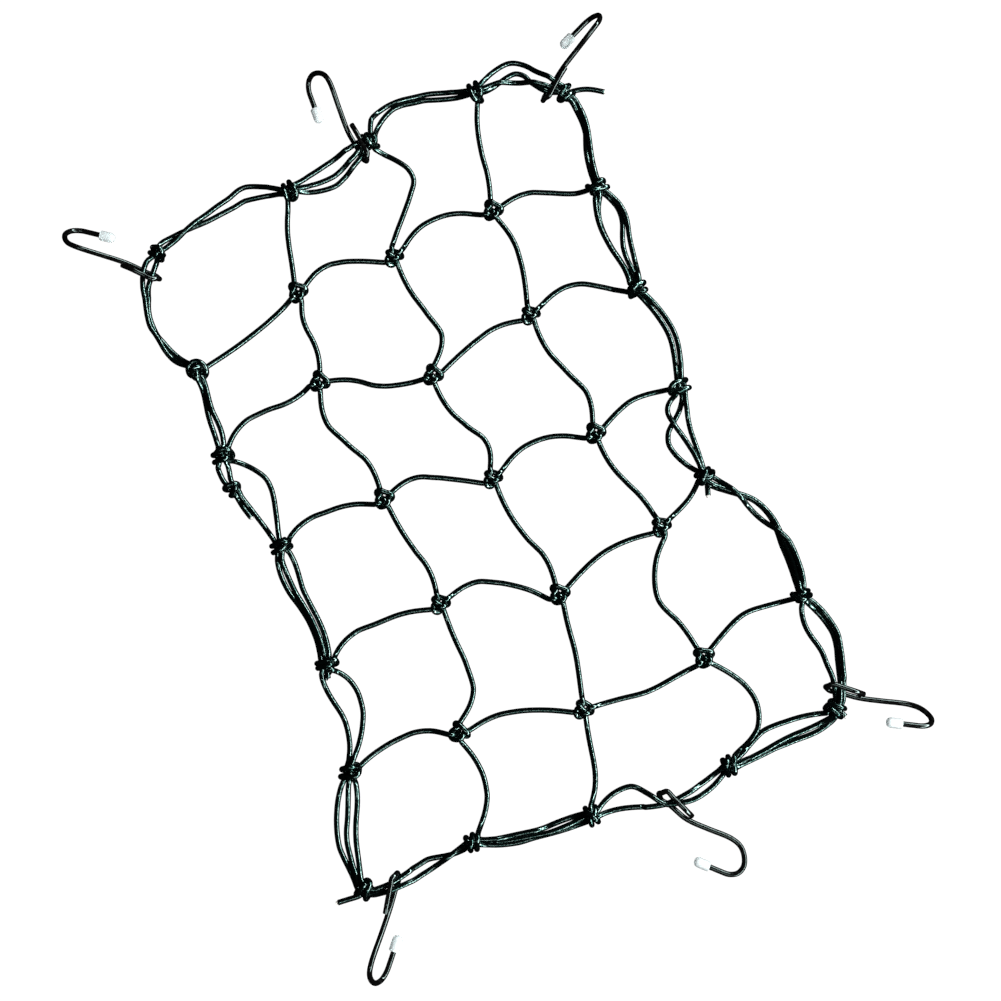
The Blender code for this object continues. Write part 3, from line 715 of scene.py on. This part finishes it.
def border_cord(ends, bows, offs):
    """One border cord between two knots, low between them and parallel to its fellows in each."""
    start, end = (knots[knot] for knot in ends)
    controls = []
    for knot, off, steps in zip(ends, offs, ((0, PARALLEL), (-PARALLEL, 0))):
        way = passage[knot] if passage[knot].dot(end - start) > 0 else -passage[knot]
        aside = Vector((-way.y, way.x, 0)) * off
        controls.append([knots[knot] + way * step * MM + aside for step in steps])
    line = smooth_line(controls[0] + bowed(start, end, bows) + controls[1], BORDER_STEP)
    near = np.minimum(reach(line, start), reach(line, end))
    line[:, 2] = CORD / 2 + (BUNDLE_HEIGHT - CORD / 2) * (1 - ease((near - HALF_KNOT) / CLIMB))
    line[:, 2] = np.maximum(line[:, 2], [through_eyes(Vector((x, y, 0)))[0] for x, y, z in line])
    return line


def lay_over(line, placed):
    """The line, raised in a taut hump wherever it crosses cords that already lie there."""
    if not placed:
        return line
    others = np.vstack(placed)
    gaps = np.linalg.norm(line[:, None, :2] - others[None, :, :2], axis=2)
    touch, in_knot, rounds = CORD * 0.93, 5, 30
    above = others[None, :, 2] + np.sqrt(np.maximum(touch ** 2 - gaps ** 2, 0))
    needed = np.maximum(np.where(gaps < touch, above, 0).max(axis=1), line[:, 2])
    needed[:in_knot] = line[:in_knot, 2]
    needed[-in_knot:] = line[-in_knot:, 2]
    height = needed.copy()
    for _ in range(rounds):
        evened = 0.5 * height[1:-1] + 0.25 * (height[:-2] + height[2:])
        height[1:-1] = np.maximum(needed[1:-1], evened)
    raised = line.copy()
    raised[:, 2] = np.minimum(height, [through_eyes(Vector((x, y, 0)))[1] for x, y, z in line])
    return raised


def bundle(ends, cords):
    """The cords of one border span, laid one over another."""
    first = sorted(range(len(cords)), key=lambda i: cords[i][0])
    last = sorted(range(len(cords)), key=lambda i: cords[i][-1])
    middle = (len(cords) - 1) / 2
    placed = []
    for i, bows in enumerate(cords):
        offs = [(order.index(i) - middle) * BUNDLE_STEP for order in (first, last)]
        placed.append(lay_over(border_cord(ends, bows, offs), placed))
    return placed


Cord = namedtuple("Cord", "edge ends line")
border = []
for edge, spans, path in (("far", FAR_EDGE, [(0, c) for c in range(COLUMNS)]),
                          ("near", NEAR_EDGE, [(ROWS - 1, c) for c in range(COLUMNS)]),
                          ("left", LEFT_EDGE, [(r, 0) for r in range(ROWS)]),
                          ("right", RIGHT_EDGE, [(r, COLUMNS - 1) for r in range(ROWS)]),
                          ("left", (TO_SPARE, FROM_SPARE), [(2, 0), "spare", (3, 0)])):
    for cords, ends in zip(spans, zip(path, path[1:])):
        border += [Cord(edge, ends, line) for line in bundle(ends, cords)]


def cords_at(knot):
    """The border cords before a knot and after it, inner ones first, each with its number."""
    sides = [], []
    way = passage[knot]
    for number, cord in enumerate(border):
        if knot in cord.ends:
            line = cord.line if cord.ends[0] == knot else cord.line[::-1]
            outside = int(np.argmax(reach(line, knots[knot]) > TIES[knot].hold))
            after = (Vector(line[outside]) - knots[knot]).dot(way) > 0
            sides[after].append((number, line[outside::-1]))
    outward = Vector((-way.y, way.x, 0))
    middle = np.array(knots[knot])
    return [sorted(side, key=lambda item: Vector(item[1][-1] - middle).dot(outward))
            for side in sides]


def hitch_folds(knot, width):
    """The hitch at a border knot, from the strand's side to its end."""
    way, tie = passage[knot], TIES[knot]
    inward = Vector((way.y, -way.x, 0))
    folds = []
    for wrap in HITCH:
        angle = math.radians(wrap.angle + tie.roll)
        y, z = (math.copysign(abs(turn) ** SQUARENESS, turn)
                for turn in (math.cos(angle), math.sin(angle)))
        y *= width / 2 + (BESIDE_BUNDLE + wrap.off) * MM
        z = z * (ABOVE_BUNDLE + wrap.off) * MM
        folds.append(knots[knot] + way * wrap.along * tie.mirror * MM + inward * y
                     + Vector((0, 0, BUNDLE_MIDDLE * MM + z)))
    return folds


def hitch_knot(knot):
    """A border knot drawn tight. Gives the hitch, and each border cord's end by its number."""
    before, after = cords_at(knot)
    tie = TIES[knot]
    pairs = []
    while before and after:
        spare = len(before) - len(after)
        if spare:
            longer = before if spare > 0 else after
            pairs.append((longer.pop(len(longer) // 2), None))
        else:
            pairs.append((before.pop(0), after.pop(0)))
    ropes = []
    way = passage[knot]
    inward = np.array((way.y, -way.x))
    for number, (one, other) in enumerate(pairs):
        line = one[1] if other is None else np.vstack([one[1], other[1][-2::-1]])
        line = line.copy()
        inside = 1 - ease(reach(line, knots[knot]) / tie.hold)
        off = (line[:, :2] - np.array(knots[knot])[:2]) @ inward
        line[:, :2] -= np.outer(SQUEEZE * inside * off, inward)
        line[:, 2] += KNOT_LIFTS[number % 2] * MM * inside
        if other is None and tie.stub:
            out = line[-1] - line[-6]
            line = np.vstack([line, line[-1] + out * (tie.stub * MM / np.linalg.norm(out))])
        ropes.append(smooth_line(line, ROPE_STEP))
    bundle_width = (2.2 + 1.8 * len(pairs)) * MM
    folds = hitch_folds(knot, bundle_width)
    if knot == (1, 0):
        folds = loose_folds(OVERHAND, knots[knot], Vector((0.36, 0.93, 0)), 1)
    strand_start = []
    inner = [other for (start, other) in routes if start == knot]
    if inner:
        strand_start = approach(routes[knot, inner[0]], knots[knot], tie.hold)
    tail = [Vector((across * MM, along * MM, CORD / 2)) for across, along in tie.tail]
    still = [line for line in hook_lines.values() if reach(line, knots[knot]).min() < HOLD]
    ropes.append(smooth_line(strand_start + folds + tail, ROPE_STEP))
    drawn = draw_tight(ropes, tie.rounds, still)
    ends = {}
    way = np.array(way)
    for (one, other), rope in zip(pairs, drawn):
        if other is None:
            ends[one[0]] = rope
        else:
            cut = int(np.argmax((rope - np.array(knots[knot])) @ way > 0))
            ends[one[0]], ends[other[0]] = rope[:cut + 1], rope[:cut - 1:-1]
    return drawn[-1], ends


hitches, border_ends = {}, {}
for knot in TIES:
    hitches[knot], ends = hitch_knot(knot)
    border_ends.update({(number, knot): end for number, end in ends.items()})


def cord_finish():
    """Tight black braid: yarns of fine thread that cross over and under round the cord, with shade
    painted in the hollows between them.
    """
    yarns, lay, thread_turns = 8, 1.1, 8 * math.pi
    finish = Finish("elastic_cord_sleeve", Specular_IOR_Level=0.2,
                    Specular_Tint=(0.5, 1.0, 0.93, 1), Coat_Roughness=0.1)
    place = finish.node("ShaderNodeUVMap", {"uv_map": "sleeve"})
    u = finish.node("ShaderNodeSeparateXYZ", Vector=place)
    v = Value(finish, u.socket.node.outputs[1])
    left = (u + v * (1 / lay)) * yarns
    right = (u - v * (1 / lay)) * yarns
    wave_left = finish.sum("SINE", left * math.pi)
    wave_right = finish.sum("SINE", right * math.pi)
    over = finish.sum("GREATER_THAN", wave_left * wave_right, 0.0)
    ridge = (finish.sum("ABSOLUTE", wave_left) * over
             + finish.sum("ABSOLUTE", wave_right) * (1 - over))
    threads = (finish.sum("SINE", left * thread_turns) * over
               + finish.sum("SINE", right * thread_turns) * (1 - over))
    worn = finish.ramp(finish.noise(1400.0, 2.0), 0.55, 0.75)
    dull = finish.ramp(finish.noise(750.0, 1.0), 0.44, 0.56)
    # Painted shade: the hollows between the yarns are coloured darker than the yarns' crowns.
    colour = finish.mix(ridge, (0.0002, 0.0004, 0.0004, 1), (0.0008, 0.0016, 0.0016, 1))
    finish.drive(Base_Color=finish.mix(worn * 0.4, colour, (0.004, 0.009, 0.0085, 1)),
                 Roughness=0.16 - ridge * 0.04, Coat_Weight=1 - dull,
                 Normal=finish.bump(ridge + threads * 0.1, 0.08, 0.0003))
    return finish.material


SIDES = 16
END_BULGE = 0.04           # how far a cut sleeve bulges at its end, as a share of the cord
OFF_EVERY_CORD = (0.13, 0.21, 0.97)


def cord_piece(name, lines):
    """Sleeved cords along some lines, with a UV map that runs round and along each of them."""
    points, faces, maps = [], [], []
    angles = np.linspace(0, 2 * math.pi, SIDES, endpoint=False)[:, None]
    for line in lines:
        base = len(points)
        tangents = np.gradient(line, axis=0)
        tangents /= np.linalg.norm(tangents, axis=1)[:, None]
        run = np.r_[0, np.cumsum(np.linalg.norm(np.diff(line, axis=0), axis=1))] / (math.pi * CORD)
        side = np.cross(tangents[0], OFF_EVERY_CORD)
        for place, tangent in zip(line, tangents):
            side = side - tangent * side.dot(tangent)
            side /= np.linalg.norm(side)
            up = np.cross(tangent, side)
            points.extend(place + (np.cos(angles) * side + np.sin(angles) * up) * CORD / 2)
        for i in range(len(line) - 1):
            low, high = base + i * SIDES, base + (i + 1) * SIDES
            for j in range(SIDES):
                after = (j + 1) % SIDES
                faces.append((low + j, low + after, high + after, high + j))
                u, u_after = j / SIDES, (j + 1) / SIDES
                maps.extend(((u, run[i]), (u_after, run[i]),
                             (u_after, run[i + 1]), (u, run[i + 1])))
        last = base + (len(line) - 1) * SIDES
        for ring_start, tangent, end in ((base, -tangents[0], 0), (last, tangents[-1], -1)):
            middle = len(points)
            points.append(line[end] + tangent * CORD * END_BULGE)
            for j in range(SIDES):
                pair = (ring_start + j, ring_start + (j + 1) % SIDES)
                faces.append((middle, *pair) if end == -1 else (middle, *reversed(pair)))
                maps.extend([(j / SIDES, run[end])] * 3)
    mesh = bpy.data.meshes.new(name)
    mesh.from_pydata([tuple(p) for p in points], [], faces)
    layer = mesh.uv_layers.new(name="sleeve")
    layer.data.foreach_set("uv", np.array(maps, float).ravel())
    mesh.polygons.foreach_set("use_smooth", [True] * len(mesh.polygons))
    mesh.update()
    mesh.materials.append(sleeve)
    piece = bpy.data.objects.new(name, mesh)
    scene.collection.objects.link(piece)
    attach(piece, "root")
    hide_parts("net")


def between(line, start, end):
    """The part of a route that lies beyond the reach of its two knots."""
    holds = [TIES[knot].hold if knot in TIES else HOLD for knot in (start, end)]
    return line[(reach(line, knots[start]) > holds[0]) & (reach(line, knots[end]) > holds[1])]


# A finished cord is smoothed beside its knots: from this far off, fully so a little further, and
# then less and less.
EASE_FROM = 9 * MM
EASE_RISE = 6 * MM
EASE_UNTIL = 27 * MM
EASE_FALL = 12 * MM
EASE_ROUNDS = 90


def eased_joins(line, places):
    """The line with the bends taken out where knots drawn tight meet the routes between them."""
    line[:, 2] = np.maximum(line[:, 2], CORD / 2)
    near = np.min([reach(line, place) for place in places], axis=0)
    loose = ease((near - EASE_FROM) / EASE_RISE) * (1 - ease((near - EASE_UNTIL) / EASE_FALL))
    for _ in range(EASE_ROUNDS):
        bend = line[:-2, :2] + line[2:, :2] - 2 * line[1:-1, :2]
        line[1:-1, :2] += (0.25 * loose[1:-1, None]) * bend
    return line


def stepped_cord(knot):
    """One inner cord, from its hitch on the border down the net in steps to its last hitch."""
    down = knot[0] == 0
    parts = [hitches[knot][::-1]]
    passed = [knots[knot]]
    while True:
        follow = (knot[0] + 1, knot[1]) if down else (knot[0], knot[1] + 1)
        parts.append(between(routes[knot, follow], knot, follow))
        knot = follow
        passed.append(knots[knot])
        if knot not in tied:
            break
        parts.append(tied[knot][0 if down else 1])
        down = not down
    parts.append(hitches[knot])
    return eased_joins(smooth_line(np.vstack(parts), CORD_STEP), passed)


sleeve = cord_finish()
for number, start in enumerate([(0, column) for column in ALONG] + [(row, 0) for row in ACROSS]):
    cord_piece("inner_cord_%d" % (number + 1), [stepped_cord(start)])
for edge in ("far", "near", "left", "right"):
    lines = []
    for number, cord in enumerate(border):
        if cord.edge == edge:
            start, end = cord.ends
            parts = (border_ends[number, start][::-1], between(cord.line, start, end),
                     border_ends[number, end])
            line = smooth_line(np.vstack(parts), CORD_STEP)
            lines.append(eased_joins(line, [knots[start], knots[end]]))
    cord_piece("border_" + edge, lines)


def core_finish():
    """The pale rubber threads that show at a cut end, grainy where the blade has passed."""
    finish = Finish("rubber_core", Specular_IOR_Level=0.3)
    grain = finish.noise(2500.0, 2.0)
    finish.drive(Base_Color=finish.mix(grain, (0.5, 0.48, 0.44, 1), (0.85, 0.84, 0.8, 1)),
                 Roughness=grain * 0.2 + 0.6, Normal=finish.bump(grain, 0.6, 0.0002))
    return finish.material


CORE_SIDES = 24
CORE_RADIUS = 0.34 * CORD
CORE_LENGTH = 3 * MM       # half of it stands out of the sleeve

bpy.ops.mesh.primitive_cylinder_add(vertices=CORE_SIDES, radius=CORE_RADIUS, depth=CORE_LENGTH)
stub = bpy.context.object
bpy.context.tool_settings.mesh_select_mode = (False, False, True)
pick_faces(stub, lambda face: face.normal.z > 0.9)
bpy.ops.mesh.inset(thickness=0.4 * MM, depth=0.2 * MM)
bpy.ops.mesh.inset(thickness=0.5 * MM, depth=0.1 * MM)
bpy.ops.object.mode_set(mode="OBJECT")
bpy.ops.object.shade_smooth_by_angle(angle=CREASE)
stub.data.materials.append(core_finish())
for number, knot in enumerate(knot for knot, tie in TIES.items() if tie.tail):
    end = hitches[knot][-1]
    out = Vector(end - hitches[knot][-3]).normalized()
    core = moved_copy(stub, "cord_core_%d" % (number + 1), end, out)
    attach(core, "root")
    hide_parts("net")
bpy.data.objects.remove(stub)
cord_piece("corner_knots", [smooth_line(hitches[knot], CORNER_STEP)
                            for knot in ((0, 0), (0, 4), (6, 0), (6, 4), "spare")])


# --- Floor and lights ---
# A plain white floor in a round white tent, both glowing evenly. A long panel low on the right and
# a narrow strip above the near side give the cords their streaks, and two soft lamps light the
# caps.
FLOOR_SIZE = 6
TENT_RADIUS = 2.9
RIGHT, NEAR = -21, -111    # the ways to the picture's right and near sides, in degrees

bpy.ops.mesh.primitive_plane_add(size=FLOOR_SIZE)
floor = bpy.context.object
floor.name = "floor"
white = Finish("floor_pale", Roughness=0.9, Specular_IOR_Level=0.0,
               Base_Color=(0.05, 0.05, 0.05, 1), Emission_Color=(1, 1, 1, 1),
               Emission_Strength=1.0)
floor.data.materials.append(white.material)
floor.visible_glossy = False
bpy.ops.mesh.primitive_uv_sphere_add(segments=64, ring_count=32, radius=TENT_RADIUS)
tent = bpy.context.object
tent.name = "tent"
tent.data.materials.append(white.material)
tent.visible_diffuse = tent.visible_glossy = tent.visible_transmission = tent.visible_shadow = False

# The way to each lamp and its height in degrees, how far away and how large it is, and its power.
Light = namedtuple("Light", "name turn height reach size power")
for light in (Light("right", RIGHT, 50, 2.4, 0.5, 110), Light("near", NEAR, 58, 2.4, 0.3, 20)):
    lamp = bpy.data.lights.new(light.name, "AREA")
    lamp.size = light.size
    lamp.energy = light.power
    turn, height = math.radians(light.turn), math.radians(light.height)
    aim = Vector((math.cos(turn) * math.cos(height), math.sin(turn) * math.cos(height),
                  math.sin(height)))
    shown = bpy.data.objects.new(light.name, lamp)
    shown.visible_glossy = shown.visible_camera = False
    shown.location = aim * light.reach
    shown.rotation_euler = aim.to_track_quat("Z", "Y").to_euler()
    scene.collection.objects.link(shown)


class Sky(Finish):
    """The world's light, built from the same expressions."""

    def __init__(self, name):
        self.world = bpy.data.worlds.new(name)
        self.world.use_nodes = True
        self.tree = self.world.node_tree
        self.shader = self.tree.nodes["Background"]


sky = Sky("studio")
sight = sky.node("ShaderNodeTexCoord")
rise = sky.node("ShaderNodeSeparateXYZ", out=2, Vector=sight)


def facing(turn, start, end):
    """From 0 to 1 as the sight turns towards a direction on the floor."""
    toward = sky.node("ShaderNodeVectorMath", {"operation": "DOT_PRODUCT"}, out=1, i0=sight,
                      i1=(math.cos(math.radians(turn)), math.sin(math.radians(turn)), 0))
    return sky.ramp(toward, start, end)


panel = facing(RIGHT, 0.25, 0.4) * sky.ramp(rise, 0.62, 0.58) * sky.ramp(rise, 0.44, 0.48)
strip = facing(NEAR, 0.36, 0.4) * facing(NEAR, 0.5, 0.46)
strip = strip * facing(RIGHT, 0.25, 0.15) * facing(RIGHT, -0.25, -0.15)
strip = strip * sky.ramp(rise, 0.5, 0.6)
dark, strip_glow, panel_glow = (0, 0, 0, 1), (15, 19.5, 18.5, 1), (50, 65, 62, 1)
sky.drive(Color=sky.mix(panel, sky.mix(strip, dark, strip_glow), panel_glow))
scene.world = sky.world
# The panel and the strip are for gloss alone, so that black stays black.
sky.world.cycles_visibility.diffuse = False
sky.world.cycles_visibility.transmission = False
scene.view_settings.view_transform = "Standard"
